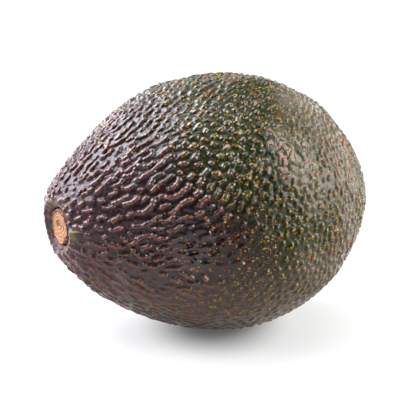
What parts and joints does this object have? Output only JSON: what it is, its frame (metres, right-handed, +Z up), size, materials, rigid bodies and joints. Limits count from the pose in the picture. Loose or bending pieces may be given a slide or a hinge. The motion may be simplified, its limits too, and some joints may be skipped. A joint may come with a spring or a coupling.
{
  "type": "avocado",
  "caption": "Whole ripe avocado with dark pebbled skin, lying on its side, with a woody stalk stub in its dimpled stem end.",
  "frame": {"origin": "on the resting surface, under the middle of the fruit's box", "axes": "+X along the fruit from the stem end to the blossom end, +Z up, +Y completes a right-handed frame"},
  "size_m": [0.0916, 0.0704, 0.0691],
  "materials": {
    "skin": "semi-gloss pebbled skin",
    "stalk_wood": "dry cut wood"
  },
  "bodies": {
    "root": {"fruit": "skin", "stem_button": "stalk_wood"}
  },
  "joints": []
}
